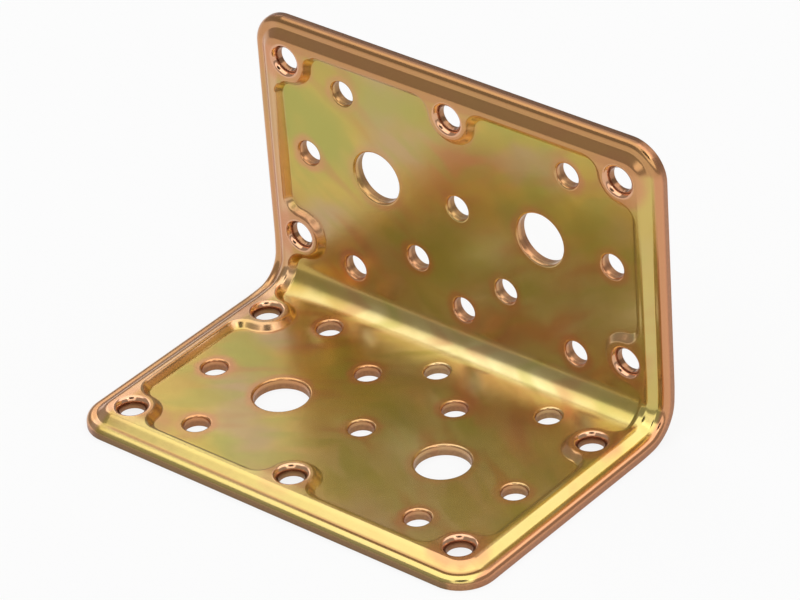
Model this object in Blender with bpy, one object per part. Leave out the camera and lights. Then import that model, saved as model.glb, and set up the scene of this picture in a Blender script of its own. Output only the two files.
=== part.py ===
"""Corner connecting plate: one blank of sheet steel, pressed, punched and folded to a right angle.

The press raises a bead between a sunk panel and a narrow flange, and widens the bead to a lobe round each
countersunk screw hole. Both leaves carry the same holes. The blank is modelled flat, as (u, s, k): u runs along the
fold, s along the leaves from the middle of the fold, and k is the height above the panel. The last step folds it,
with the inside of the angle towards -Y and +Z.
"""

import math

import bmesh
import bpy

MM = 0.001

# Blank and fold
LENGTH = 100 * MM
LEG = 65 * MM
SHEET = 2.5 * MM
FOLD_RADIUS = 5.5 * MM
CORNER_RADIUS = 7.6 * MM

# Section of the rim, from the edge of the sheet to the panel
EDGE_RADIUS = 0.8 * MM
FLANGE_WIDTH = 2.0 * MM
OUTER_RUN = 1.8 * MM
CREST_WIDTH = 1.4 * MM
INNER_RUN = 1.7 * MM
BEAD_HEIGHT = 1.4 * MM
GROOVE_SLOPE_SHARE = 0.38

# Lobes of the bead round the screw holes
LOBE_RADIUS = 6.0 * MM
LOBE_BLEND = 2.5 * MM

# Countersunk screw holes, placed from the ends, the free edges and the inside corner
SCREW_BORE = 5.2 * MM
SCREW_HEAD = 7.3 * MM
HEAD_LIP = 0.25 * MM
SCREW_FROM_END = 8.85 * MM
SCREW_FROM_EDGE = 8.6 * MM
SCREW_FROM_CORNER = 13.0 * MM

# Nail holes and bolt holes of the panel, placed from the ends, the inside corner and the free edges
NAIL_BORE = 5.2 * MM
BOLT_BORE = 11.2 * MM
PUNCH_ROUND = 0.5 * MM
NEAR_ROW = 9.35 * MM
PAIR_ROW = 17.65 * MM
MIDDLE_ROW_FROM_EDGE = 29.5 * MM
FAR_ROW_FROM_EDGE = 12.55 * MM
PAIR_OFFSET = 11.05 * MM
BOLT_FROM_END = 29.6 * MM
NAIL_FROM_END = 22.15 * MM
OUTER_NAIL_FROM_END = 12.15 * MM

# Fineness of the round forms
CORNER_STEPS = 8
LOBE_STEPS = 14
BLEND_STEPS = 5
SLOPE_STEPS = 4
EDGE_STEPS = 3
FOLD_STEPS = 8
SMALL_SIDES = 20
LARGE_SIDES = 28
CUT_CLEARANCE = 1 * MM
SHARP_ANGLE = math.radians(35)

HALF_LENGTH = LENGTH / 2
REACH = LEG - SHEET
HALF_ARC = FOLD_RADIUS * math.pi / 4
SETBACK = FOLD_RADIUS - HALF_ARC
BEAD_WIDTH = OUTER_RUN + CREST_WIDTH + INNER_RUN
RIM_WIDTH = FLANGE_WIDTH + BEAD_WIDTH

SCREW_U = HALF_LENGTH - SCREW_FROM_END
NAIL_U = HALF_LENGTH - NAIL_FROM_END
MIDDLE_ROW = REACH - MIDDLE_ROW_FROM_EDGE
SCREWS = (
    (SCREW_U, SCREW_FROM_CORNER),
    (SCREW_U, REACH - SCREW_FROM_EDGE),
    (0.0, REACH - SCREW_FROM_EDGE),
)
NAILS = (
    (0.0, NEAR_ROW),
    (NAIL_U, NEAR_ROW),
    (PAIR_OFFSET, PAIR_ROW),
    (0.0, MIDDLE_ROW),
    (HALF_LENGTH - OUTER_NAIL_FROM_END, MIDDLE_ROW),
    (NAIL_U, REACH - FAR_ROW_FROM_EDGE),
)
BOLTS = ((HALF_LENGTH - BOLT_FROM_END, MIDDLE_ROW),)


def flat(distance):
    """Place in the blank of a distance measured along a leaf from the inside corner."""
    return distance - SETBACK


def arc(centre, radius, start, stop, steps):
    """Points of an arc, its ends included."""
    angles = [start + (stop - start) * i / steps for i in range(steps + 1)]
    return [(centre[0] + radius * math.cos(a), centre[1] + radius * math.sin(a)) for a in angles]


def all_quarters(quarter):
    """A closed outline from its first quarter, which runs from the u axis to the s axis."""
    left = [(-u, s) for u, s in reversed(quarter)]
    half = quarter + left
    outline = half + [(u, -s) for u, s in reversed(half)]
    return [point for i, point in enumerate(outline) if math.dist(point, outline[i - 1]) > 1e-7]


def plate_outline(inset):
    """The blank's own outline, moved inwards."""
    u = HALF_LENGTH - inset
    s = flat(REACH) - inset
    radius = CORNER_RADIUS - inset
    corner = arc((u - radius, s - radius), radius, 0, math.pi / 2, CORNER_STEPS)
    return all_quarters([(u, 0.0), *corner, (0.0, s)])


def panel_outline(grow):
    """The outline of the sunk panel with its bays round the lobes, moved outwards towards the bead."""
    side = HALF_LENGTH - RIM_WIDTH + grow
    end = flat(REACH) - RIM_WIDTH + grow
    lobe = LOBE_RADIUS - grow
    blend = LOBE_BLEND + grow
    near, far, middle = [(u, flat(v)) for u, v in SCREWS]

    def side_blend(centre, sign):
        """Centre of the arc between the side line and a lobe, and the angle from there to the lobe."""
        across = centre[0] - (side - blend)
        along = math.sqrt((lobe + blend) ** 2 - across**2)
        return (side - blend, centre[1] + sign * along), math.atan2(along, across)

    def end_blend(centre, sign):
        """The same between the free end's line and a lobe."""
        along = centre[1] - (end - blend)
        across = math.sqrt((lobe + blend) ** 2 - along**2)
        return (centre[0] + sign * across, end - blend), math.atan2(across, along)

    quarter = [(side, 0.0)]
    before, turn = side_blend(near, -1)
    quarter += arc(before, blend, 0, turn, BLEND_STEPS)
    quarter += arc(near, lobe, turn - math.pi, -turn - math.pi, LOBE_STEPS)
    after, _ = side_blend(near, 1)
    quarter += arc(after, blend, -turn, 0, BLEND_STEPS)
    before, turn = side_blend(far, -1)
    quarter += arc(before, blend, 0, turn, BLEND_STEPS)
    after, end_turn = end_blend(far, -1)
    quarter += arc(far, lobe, turn - math.pi, -math.pi / 2 - end_turn, LOBE_STEPS)
    quarter += arc(after, blend, math.pi / 2 - end_turn, math.pi / 2, BLEND_STEPS)
    before, end_turn = end_blend(middle, 1)
    quarter += arc(before, blend, math.pi / 2, math.pi / 2 + end_turn, BLEND_STEPS)
    quarter += arc(middle, lobe, end_turn - math.pi / 2, -math.pi / 2, LOBE_STEPS // 2)
    return all_quarters(quarter)


def add_loop(mesh, outline, height):
    """A closed loop of edges at one height."""
    verts = [mesh.verts.new((u, s, height)) for u, s in outline]
    for i, vert in enumerate(verts):
        mesh.edges.new((verts[i - 1], vert))
    return verts


def loop_edges(mesh, *loops):
    return [mesh.edges.get((loop[i - 1], loop[i])) for loop in loops for i in range(len(loop))]


def skin(mesh, loops):
    """Faces between each loop and the next, all of the same outline."""
    for first, second in zip(loops, loops[1:]):
        for i in range(len(first)):
            mesh.faces.new((first[i - 1], first[i], second[i], second[i - 1]))


def fill_between(mesh, outer, inner):
    """Flat faces between two loops at one height."""
    bmesh.ops.triangle_fill(mesh, edges=loop_edges(mesh, outer, inner), use_beauty=True, normal=(0, 0, 1))


def slope(mesh, outline, start, run):
    """Loops of a rounded slope up to the bead's crest, from an outline's offset at the foot."""
    loops = []
    for i in range(SLOPE_STEPS + 1):
        part = i / SLOPE_STEPS
        rise = BEAD_HEIGHT * (1 - math.cos(part * math.pi)) / 2
        loops.append(add_loop(mesh, outline(start + part * run), rise))
    skin(mesh, loops)
    return loops


def rounded_edge(mesh):
    """Loops from the flange over the edge's rounding and down the edge to the underside."""
    loops = []
    for i in range(EDGE_STEPS + 1):
        turn = math.pi / 2 * i / EDGE_STEPS
        drop = EDGE_RADIUS * (1 - math.cos(turn))
        loops.append(add_loop(mesh, plate_outline(EDGE_RADIUS * (1 - math.sin(turn))), -drop))
    loops.append(add_loop(mesh, plate_outline(0), -SHEET))
    skin(mesh, loops)
    return loops


def cut_fold_lines(mesh):
    """Lines across the blank where it will bend."""
    for i in range(FOLD_STEPS + 1):
        place = HALF_ARC * (2 * i / FOLD_STEPS - 1)
        geometry = mesh.verts[:] + mesh.edges[:] + mesh.faces[:]
        bmesh.ops.bisect_plane(mesh, geom=geometry, dist=1e-7, plane_co=(0, place, 0), plane_no=(0, 1, 0))


def pressed_blank():
    """The flat blank after the press: panel, bead, flange and edge, and the groove under the bead."""
    mesh = bmesh.new()
    edge = rounded_edge(mesh)
    outer = slope(mesh, plate_outline, FLANGE_WIDTH, OUTER_RUN)
    inner = slope(mesh, panel_outline, 0, INNER_RUN)
    fill_between(mesh, edge[0], outer[0])
    fill_between(mesh, outer[-1], inner[-1])
    mesh.faces.new(inner[0])

    # The sheet keeps its thickness through the bead's slopes, which draws the groove in from the bead's feet
    slope_angle = math.atan2(BEAD_HEIGHT, (OUTER_RUN + INNER_RUN) / 2)
    draw_in = SHEET * math.tan(slope_angle / 2)
    groove_run = (BEAD_WIDTH - 2 * draw_in) * GROOVE_SLOPE_SHARE
    roof = BEAD_HEIGHT - SHEET
    outer_foot = add_loop(mesh, plate_outline(FLANGE_WIDTH + draw_in), -SHEET)
    outer_roof = add_loop(mesh, plate_outline(FLANGE_WIDTH + draw_in + groove_run), roof)
    inner_foot = add_loop(mesh, panel_outline(draw_in), -SHEET)
    inner_roof = add_loop(mesh, panel_outline(draw_in + groove_run), roof)
    fill_between(mesh, edge[-1], outer_foot)
    skin(mesh, [outer_foot, outer_roof])
    fill_between(mesh, outer_roof, inner_roof)
    skin(mesh, [inner_roof, inner_foot])
    mesh.faces.new(inner_foot)

    cut_fold_lines(mesh)
    bmesh.ops.recalc_face_normals(mesh, faces=mesh.faces)
    return mesh


def add_punch(mesh, centre, profile, sides):
    """A turned cutter on its hole's centre, from a profile of (radius, height) that starts and ends on the axis."""
    verts = [mesh.verts.new((radius, 0, height)) for radius, height in profile]
    edges = [mesh.edges.new(pair) for pair in zip(verts, verts[1:])]
    geometry = verts + edges
    bmesh.ops.spin(mesh, geom=geometry, axis=(0, 0, 1), angle=2 * math.pi, steps=sides, use_merge=True)
    new = [vert for vert in mesh.verts if not vert.tag]
    bmesh.ops.translate(mesh, vec=(centre[0], centre[1], 0), verts=new)
    for vert in new:
        vert.tag = True


def panel_profile(bore):
    """A plain punch whose upper lip rounds the hole's edge."""
    radius = bore / 2
    lip = [
        (radius + PUNCH_ROUND * (1 - math.cos(turn)), -PUNCH_ROUND * (1 - math.sin(turn)))
        for turn in (0, math.pi / 4, math.pi / 2)
    ]
    top = (lip[-1][0], CUT_CLEARANCE)
    bottom = -SHEET - CUT_CLEARANCE
    return [(0, bottom), (radius, bottom), *lip, top, (0, CUT_CLEARANCE)]


def screw_profile():
    """A countersink with a 90 degree cone, a flatter lip at its mouth, and the bore below it."""
    bore = SCREW_BORE / 2
    head = SCREW_HEAD / 2
    mouth = (head + HEAD_LIP, BEAD_HEIGHT)
    shoulder = (head - HEAD_LIP, BEAD_HEIGHT - HEAD_LIP)
    throat = (bore, shoulder[1] - (shoulder[0] - bore))
    top = BEAD_HEIGHT + CUT_CLEARANCE
    bottom = BEAD_HEIGHT - SHEET - CUT_CLEARANCE
    return [(0, bottom), (bore, bottom), throat, shoulder, mouth, (mouth[0], top), (0, top)]


def mirrored(places):
    """Each place (u, distance from the inside corner) on both halves of both leaves."""
    centres = set()
    for u, distance in places:
        centres |= {(a * u, b * flat(distance)) for a in (-1, 1) for b in (-1, 1)}
    return sorted(centres)


def punches():
    mesh = bmesh.new()
    for places, profile, sides in (
        (NAILS, panel_profile(NAIL_BORE), SMALL_SIDES),
        (BOLTS, panel_profile(BOLT_BORE), LARGE_SIDES),
        (SCREWS, screw_profile(), SMALL_SIDES),
    ):
        for centre in mirrored(places):
            add_punch(mesh, centre, profile, sides)
    bmesh.ops.remove_doubles(mesh, verts=mesh.verts, dist=1e-7)
    bmesh.ops.recalc_face_normals(mesh, faces=mesh.faces)
    return mesh


def add_object(name, mesh):
    data = bpy.data.meshes.new(name)
    mesh.to_mesh(data)
    mesh.free()
    obj = bpy.data.objects.new(name, data)
    bpy.context.scene.collection.objects.link(obj)
    return obj


def punched(blank, cutter):
    """The blank's mesh after the cutter, as a new mesh; both flat objects are removed."""
    cut = blank.modifiers.new("punch", "BOOLEAN")
    cut.operation = "DIFFERENCE"
    cut.object = cutter
    graph = bpy.context.evaluated_depsgraph_get()
    mesh = bpy.data.meshes.new_from_object(blank.evaluated_get(graph))
    for obj in (blank, cutter):
        bpy.data.objects.remove(obj)
    return mesh


def folded(point):
    """Where a point of the blank lies once the fold is made."""
    u, s, height = point
    face_y = LEG / 2 - SHEET
    axis_y = face_y - FOLD_RADIUS
    axis_z = SHEET + FOLD_RADIUS
    if s > HALF_ARC:
        return u, face_y - height, axis_z + s - HALF_ARC
    if s < -HALF_ARC:
        return u, axis_y + s + HALF_ARC, SHEET + height
    turn = s / FOLD_RADIUS - math.pi / 4
    radius = FOLD_RADIUS - height
    return u, axis_y + radius * math.cos(turn), axis_z + radius * math.sin(turn)


def chromated_zinc():
    material = bpy.data.materials.new("yellow_chromated_zinc")
    material.use_nodes = True
    shader = material.node_tree.nodes["Principled BSDF"]
    shader.inputs["Base Color"].default_value = (0.52, 0.37, 0.13, 1)
    shader.inputs["Metallic"].default_value = 1.0
    shader.inputs["Roughness"].default_value = 0.28
    material.diffuse_color = (0.52, 0.37, 0.13, 1)
    return material


def main():
    for obj in list(bpy.data.objects):
        bpy.data.objects.remove(obj)
    mesh = punched(add_object("blank", pressed_blank()), add_object("punches", punches()))
    for vert in mesh.vertices:
        vert.co = folded(vert.co)
    mesh.update()
    mesh.shade_smooth()
    mesh.set_sharp_from_angle(angle=SHARP_ANGLE)
    mesh.name = "corner_plate"
    mesh.materials.clear()
    mesh.materials.append(chromated_zinc())
    plate = bpy.data.objects.new("corner_plate", mesh)
    bpy.context.scene.collection.objects.link(plate)


main()
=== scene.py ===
"""Visual model of the corner connecting plate: pressed, punched and folded steel, yellow chromated.

The plate is made as its maker makes it. A blank is pressed flat, its holes are punched, and the fold comes
last. Every point keeps its place in the flat blank as the attribute "blank", which the finish reads: u runs
along the fold, s along the leaves from the middle of the fold, and k is the height above the panel.
"""

import logging
import math
from dataclasses import dataclass, field
from enum import Enum
from functools import reduce
from typing import Callable, ClassVar

import bmesh
import bpy
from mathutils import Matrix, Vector


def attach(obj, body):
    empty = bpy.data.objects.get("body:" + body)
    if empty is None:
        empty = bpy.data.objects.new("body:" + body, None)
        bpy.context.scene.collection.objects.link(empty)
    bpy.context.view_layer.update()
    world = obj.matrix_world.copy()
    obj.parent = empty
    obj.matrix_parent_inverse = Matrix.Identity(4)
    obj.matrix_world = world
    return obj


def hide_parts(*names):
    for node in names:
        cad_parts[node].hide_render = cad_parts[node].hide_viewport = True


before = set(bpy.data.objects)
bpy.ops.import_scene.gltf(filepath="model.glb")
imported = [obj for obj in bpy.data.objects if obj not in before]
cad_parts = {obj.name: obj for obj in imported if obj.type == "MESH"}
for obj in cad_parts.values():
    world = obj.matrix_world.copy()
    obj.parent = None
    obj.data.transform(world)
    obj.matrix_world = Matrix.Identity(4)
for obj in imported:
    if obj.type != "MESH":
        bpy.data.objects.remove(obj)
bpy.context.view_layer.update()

MM = 0.001
SAME_PLACE = 1e-7
RIGHT_ANGLE = math.pi / 2
LOG = logging.getLogger("corner_plate")

Point = tuple[float, float]
Triple = tuple[float, float, float]
Outline = Callable[[float], list[Point]]
Loop = list[bmesh.types.BMVert]
Socket = bpy.types.NodeSocket
Tree = bpy.types.NodeTree


def linear(hex_colour: str) -> tuple[float, float, float, float]:
    """Turns an sRGB hex colour to the linear colour that a shader takes, by the standard's own curve.

    Args:
        hex_colour: the colour as "#RRGGBB".

    Returns:
        The linear red, green and blue, with an alpha of 1.
    """
    parts = [int(hex_colour[i:i + 2], 16) / 255 for i in (1, 3, 5)]
    red, green, blue = (p / 12.92 if p <= 0.04045 else ((p + 0.055) / 1.055) ** 2.4 for p in parts)
    return red, green, blue, 1.0


def add_node(tree: Tree, kind: str, links: dict | None = None, **settings: object) -> bpy.types.Node:
    """Adds one node to a tree, with its settings, its values and its links.

    Args:
        tree: the node tree.
        kind: the node's type, such as "ShaderNodeBump".
        links: for each input's name or number, the output to link to it or the value to set.
        settings: the node's own settings.

    Returns:
        The new node.
    """
    node = tree.nodes.new(kind)
    for name, value in settings.items():
        setattr(node, name, value)
    for key, value in (links or {}).items():
        source = value.socket if isinstance(value, Amount) else value
        if isinstance(source, Socket):
            tree.links.new(source, node.inputs[key])
        else:
            node.inputs[key].default_value = source
    return node


@dataclass(frozen=True)
class Amount:
    """A number that a node tree works out at each point, so that a sum can be written as a sum.

    Attributes:
        tree: the node tree.
        socket: the output that the number comes from.
        kind: the type of node that does the sums.
    """

    tree: Tree
    socket: Socket
    kind: ClassVar[str] = "ShaderNodeMath"

    def worked(self, operation: str, *values: object) -> "Amount":
        """Works out one operation.

        Args:
            operation: the operation's name.
            values: what it works on, in the order that it takes them.

        Returns:
            The result.
        """
        node = add_node(self.tree, self.kind, dict(enumerate(values)), operation=operation)
        return type(self)(self.tree, node.outputs[0])

    def __add__(self, other: object) -> "Amount":
        """This and the other together."""
        return self.worked("ADD", self, other)

    def __sub__(self, other: object) -> "Amount":
        """This less the other."""
        return self.worked("SUBTRACT", self, other)

    def __rsub__(self, other: object) -> "Amount":
        """The other less this."""
        return self.worked("SUBTRACT", other, self)

    def __mul__(self, other: object) -> "Amount":
        """This times the other."""
        return self.worked("MULTIPLY", self, other)

    def __truediv__(self, other: object) -> "Amount":
        """This divided by the other."""
        return self.worked("DIVIDE", self, other)

    def __abs__(self) -> "Amount":
        """This without its sign."""
        return self.worked("ABSOLUTE", self)

    def least(self, other: object) -> "Amount":
        """The smaller of this and the other."""
        return self.worked("MINIMUM", self, other)

    def most(self, other: object) -> "Amount":
        """The larger of this and the other."""
        return self.worked("MAXIMUM", self, other)

    def between(self, low: float, high: float) -> "Amount":
        """Changes a part, from 0 to 1, to a number from low to high."""
        return self.worked("MULTIPLY_ADD", self, high - low, low)

    def fade(self, start: float, stop: float) -> "Amount":
        """A smooth change from 0 to 1.

        Args:
            start: the number at which the change begins.
            stop: the number at which it ends, which may be the smaller one.

        Returns:
            The part, from 0 to 1.
        """
        if start > stop:
            return 1.0 - self.fade(stop, start)
        links = {"Value": self, "From Min": start, "From Max": stop}
        node = add_node(self.tree, "ShaderNodeMapRange", links, interpolation_type="SMOOTHSTEP")
        return Amount(self.tree, node.outputs[0])


class BlankPlace(Amount):
    """A place on the flat blank that a node tree works out at each point. Sums are part by part."""

    kind: ClassVar[str] = "ShaderNodeVectorMath"

    def parts(self) -> list[Amount]:
        """Its u, s and k."""
        outputs = add_node(self.tree, "ShaderNodeSeparateXYZ", {0: self}).outputs
        return [Amount(self.tree, output) for output in outputs]

    def distance(self, other: object) -> Amount:
        """How far it is from another place."""
        node = add_node(self.tree, self.kind, {0: self, 1: other}, operation="DISTANCE")
        return Amount(self.tree, node.outputs["Value"])

    def turned_back(self, degrees: float) -> "BlankPlace":
        """Turns the place back about the blank's middle.

        Args:
            degrees: the angle that it is turned back by.

        Returns:
            Where it comes to lie.
        """
        links = {"Vector": self, "Angle": -math.radians(degrees)}
        node = add_node(self.tree, "ShaderNodeVectorRotate", links, rotation_type="Z_AXIS")
        return BlankPlace(self.tree, node.outputs[0])


def add_object(name: str, mesh: bmesh.types.BMesh) -> bpy.types.Object:
    """Puts a mesh into the scene as a new object.

    Args:
        name: the object's name.
        mesh: the mesh, which is freed.

    Returns:
        The new object, at the origin.
    """
    data = bpy.data.meshes.new(name)
    mesh.to_mesh(data)
    mesh.free()
    obj = bpy.data.objects.new(name, data)
    bpy.context.scene.collection.objects.link(obj)
    return obj


def new_sheet_tree(name: str, inputs: dict[str, str]) -> Tree:
    """Starts a geometry tree that takes a sheet, works on it and sets its metal.

    Args:
        name: the tree's name.
        inputs: the type of each other named input.

    Returns:
        The tree, with its inputs and its output.
    """
    tree = bpy.data.node_groups.new(name, "GeometryNodeTree")
    for label, kind in {"Sheet": "Geometry", **inputs, "Metal": "Material"}.items():
        tree.interface.new_socket(label, in_out="INPUT", socket_type=f"NodeSocket{kind}")
    tree.interface.new_socket("Sheet", in_out="OUTPUT", socket_type="NodeSocketGeometry")
    return tree


def end_sheet_tree(tree: Tree, sheet: Socket, metal: Socket) -> None:
    """Ends a geometry tree with real geometry that has its metal.

    Args:
        tree: the tree.
        sheet: the worked sheet.
        metal: the metal's input.
    """
    whole = add_node(tree, "GeometryNodeRealizeInstances", {"Geometry": sheet})
    dressed = add_node(tree, "GeometryNodeSetMaterial", {"Geometry": whole.outputs[0], "Material": metal})
    add_node(tree, "NodeGroupOutput", {0: dressed.outputs[0]})


def set_tree(obj: bpy.types.Object, tree: Tree, name: str, values: dict) -> None:
    """Adds a Geometry Nodes modifier to an object and sets its named inputs.

    Args:
        obj: the object.
        tree: the modifier's tree.
        name: the modifier's name.
        values: the value of each named input.
    """
    modifier = obj.modifiers.new(name, "NODES")
    modifier.node_group = tree
    for item in tree.interface.items_tree:
        if item.in_out == "INPUT" and item.name in values:
            modifier[item.identifier] = values[item.name]


def arc(centre: Point, radius: float, start: float, stop: float, steps: int) -> list[Point]:
    """Points of an arc.

    Args:
        centre: the arc's centre.
        radius: its radius.
        start: the angle of the first point.
        stop: the angle of the last point.
        steps: how many chords the arc is drawn with.

    Returns:
        The points from start to stop, both included.
    """
    angles = [start + (stop - start) * i / steps for i in range(steps + 1)]
    return [(centre[0] + radius * math.cos(a), centre[1] + radius * math.sin(a)) for a in angles]


def all_quarters(quarter: list[Point]) -> list[Point]:
    """Closes an outline that is the same in its four quarters.

    Args:
        quarter: the first quarter's points, from the u axis to the s axis.

    Returns:
        The whole outline, with no point twice.
    """
    left = [(-u, s) for u, s in reversed(quarter)]
    half = quarter + left
    outline = half + [(u, -s) for u, s in reversed(half)]
    return [point for i, point in enumerate(outline) if math.dist(point, outline[i - 1]) > SAME_PLACE]


class HoleKind(Enum):
    """The three kinds of hole in each leaf."""

    NAIL = "nail"
    BOLT = "bolt"
    SCREW = "screw"


@dataclass(frozen=True)
class RimSection:
    """Sizes of the pressed rim, from the edge of the sheet in to the panel.

    Attributes:
        sheet: the sheet's thickness.
        edge_radius: radius of the cut edge above.
        burr_radius: radius of the cut edge below.
        flange_width: width of the narrow flange outside the bead.
        outer_run: width of the bead's outer slope.
        crest_width: width of the bead's flat top.
        inner_run: width of the bead's inner slope.
        bead_height: height of the bead over the panel and the flange.
        foot_share: part of a slope's width that is hollow, at its foot.
        crest_share: part of a slope's width that is round, at the crest.
        groove_share: width of each side of the groove under the bead, as part of the groove's width.
        holding: width of the strips that keep the shading of the flats flat.
        slope_steps: how many strips a slope has.
        edge_steps: how many strips the edge's upper radius has.
        burr_steps: how many strips its lower radius has.
    """

    sheet: float = 2.5 * MM
    edge_radius: float = 1.4 * MM
    burr_radius: float = 0.2 * MM
    flange_width: float = 2.0 * MM
    outer_run: float = 2.5 * MM
    crest_width: float = 0.5 * MM
    inner_run: float = 1.75 * MM
    bead_height: float = 1.35 * MM
    foot_share: float = 0.15
    crest_share: float = 0.4
    groove_share: float = 0.38
    holding: float = 0.04 * MM
    slope_steps: int = 14
    edge_steps: int = 9
    burr_steps: int = 3

    @property
    def bead_width(self) -> float:
        """Width of the bead between its two feet."""
        return self.outer_run + self.crest_width + self.inner_run

    @property
    def rim_width(self) -> float:
        """Width of flange and bead together."""
        return self.flange_width + self.bead_width

    def rise(self, part: float) -> float:
        """Height of a slope: hollow at the foot, straight, and round at the crest.

        Args:
            part: the part of the slope's width, from 0 at the foot to 1 at the crest.

        Returns:
            The height over the foot.
        """
        steepest = 1 / (1 - (self.foot_share + self.crest_share) / 2)
        if part < self.foot_share:
            share = steepest * part**2 / (2 * self.foot_share)
        elif part < 1 - self.crest_share:
            share = steepest * (part - self.foot_share / 2)
        else:
            share = 1 - steepest * (1 - part) ** 2 / (2 * self.crest_share)
        return self.bead_height * share


@dataclass(frozen=True)
class HolePattern:
    """Places and sizes of the holes. A place is (u, distance from the inside corner) on one quarter."""

    screws: tuple[Point, ...] = ((41.15 * MM, 13.0 * MM), (41.15 * MM, 53.9 * MM), (0.0, 53.9 * MM))
    nails: tuple[Point, ...] = (
        (0.0, 9.35 * MM),
        (27.85 * MM, 9.35 * MM),
        (11.05 * MM, 17.65 * MM),
        (0.0, 33.0 * MM),
        (37.85 * MM, 33.0 * MM),
        (27.85 * MM, 49.95 * MM),
    )
    bolts: tuple[Point, ...] = ((20.4 * MM, 33.0 * MM),)
    nail_bore: float = 5.2 * MM
    bolt_bore: float = 11.2 * MM
    screw_bore: float = 5.2 * MM
    screw_head: float = 7.3 * MM
    head_lip: float = 0.6 * MM
    punch_round: float = 0.5 * MM
    burr: float = 0.12 * MM

    def places(self, kind: HoleKind) -> tuple[Point, ...]:
        """The places of one kind on one quarter."""
        return {HoleKind.NAIL: self.nails, HoleKind.BOLT: self.bolts, HoleKind.SCREW: self.screws}[kind]

    def bore(self, kind: HoleKind) -> float:
        """The bore of one kind."""
        bores = {HoleKind.NAIL: self.nail_bore, HoleKind.BOLT: self.bolt_bore, HoleKind.SCREW: self.screw_bore}
        return bores[kind]


@dataclass
class PressedBlank:
    """The flat blank after the press: a sunk panel, a bead with lobes round the screw holes, and a flange.

    Attributes:
        length: length along the fold.
        leg: outer length of each leaf.
        fold_radius: the fold's inner radius.
        corner_radius: radius of the outer corners.
        lobe_radius: radius of the lobes' feet round the screw holes.
        lobe_blend: radius of the hollow blends between lobe and bead.
        corner_steps: how many chords a corner has.
        lobe_steps: how many chords a lobe has.
        blend_steps: how many chords a blend has.
        fold_steps: how many strips the fold has.
        run_out: how far past the fold's ends the bend runs out.
        run_out_slope: how steeply the sheet still leans at the fold's ends.
        run_out_steps: how many strips the run-out has.
        section: the rim's section.
        holes: the hole pattern.
    """

    length: float = 100 * MM
    leg: float = 65 * MM
    fold_radius: float = 5.5 * MM
    corner_radius: float = 7.6 * MM
    lobe_radius: float = 6.0 * MM
    lobe_blend: float = 2.5 * MM
    corner_steps: int = 18
    lobe_steps: int = 30
    blend_steps: int = 10
    fold_steps: int = 30
    run_out: float = 4.8 * MM
    run_out_slope: float = 0.09
    run_out_steps: int = 10
    section: RimSection = field(default_factory=RimSection)
    holes: HolePattern = field(default_factory=HolePattern)

    @property
    def half_arc(self) -> float:
        """Half the length of the fold's inner face."""
        return self.fold_radius * math.pi / 4

    @property
    def reach(self) -> float:
        """Length of a leaf from the inside corner to its free edge."""
        return self.leg - self.section.sheet

    def flat(self, distance: float) -> float:
        """Place in the blank of a distance measured along a leaf from the inside corner."""
        return distance - (self.fold_radius - self.half_arc)

    def plate_outline(self, inset: float) -> list[Point]:
        """The blank's own outline.

        Args:
            inset: how far the outline is moved inwards.

        Returns:
            The closed outline.
        """
        u = self.length / 2 - inset
        s = self.flat(self.reach) - inset
        radius = self.corner_radius - inset
        corner = arc((u - radius, s - radius), radius, 0, RIGHT_ANGLE, self.corner_steps)
        return all_quarters([(u, 0.0), *corner, (0.0, s)])

    def panel_outline(self, grow: float) -> list[Point]:
        """The outline of the sunk panel, with its bays round the lobes.

        Args:
            grow: how far the outline is moved outwards, towards the bead.

        Returns:
            The closed outline.
        """
        side = self.length / 2 - self.section.rim_width + grow
        end = self.flat(self.reach) - self.section.rim_width + grow
        lobe = self.lobe_radius - grow
        blend = self.lobe_blend + grow
        near, far, middle = [(u, self.flat(v)) for u, v in self.holes.screws]

        def side_blend(centre: Point, sign: int) -> tuple[Point, float]:
            """The hollow between the side line and a lobe.

            Args:
                centre: the lobe's centre.
                sign: -1 before the lobe, 1 after it.

            Returns:
                The centre of the hollow's arc, and the angle that it turns by.
            """
            across = centre[0] - (side - blend)
            along = math.sqrt((lobe + blend) ** 2 - across**2)
            return (side - blend, centre[1] + sign * along), math.atan2(along, across)

        def end_blend(centre: Point, sign: int) -> tuple[Point, float]:
            """The hollow between the free end's line and a lobe.

            Args:
                centre: the lobe's centre.
                sign: 1 before the lobe, -1 after it.

            Returns:
                The centre of the hollow's arc, and the angle that it turns by.
            """
            along = centre[1] - (end - blend)
            across = math.sqrt((lobe + blend) ** 2 - along**2)
            return (centre[0] + sign * across, end - blend), math.atan2(across, along)

        quarter = [(side, 0.0)]
        before, turn = side_blend(near, -1)
        quarter += arc(before, blend, 0, turn, self.blend_steps)
        quarter += arc(near, lobe, turn - math.pi, -turn - math.pi, self.lobe_steps)
        after, _ = side_blend(near, 1)
        quarter += arc(after, blend, -turn, 0, self.blend_steps)
        before, turn = side_blend(far, -1)
        quarter += arc(before, blend, 0, turn, self.blend_steps)
        after, end_turn = end_blend(far, -1)
        quarter += arc(far, lobe, turn - math.pi, -RIGHT_ANGLE - end_turn, self.lobe_steps)
        quarter += arc(after, blend, RIGHT_ANGLE - end_turn, RIGHT_ANGLE, self.blend_steps)
        before, end_turn = end_blend(middle, 1)
        quarter += arc(before, blend, RIGHT_ANGLE, RIGHT_ANGLE + end_turn, self.blend_steps)
        quarter += arc(middle, lobe, end_turn - RIGHT_ANGLE, -RIGHT_ANGLE, self.lobe_steps // 2)
        return all_quarters(quarter)

    @staticmethod
    def _loop(mesh: bmesh.types.BMesh, outline: list[Point], height: float) -> Loop:
        """Adds a closed loop of edges at one height.

        Args:
            mesh: the blank's mesh.
            outline: the loop's outline.
            height: its height over the panel.

        Returns:
            The loop's points.
        """
        verts = [mesh.verts.new((u, s, height)) for u, s in outline]
        for i, vert in enumerate(verts):
            mesh.edges.new((verts[i - 1], vert))
        return verts

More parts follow.
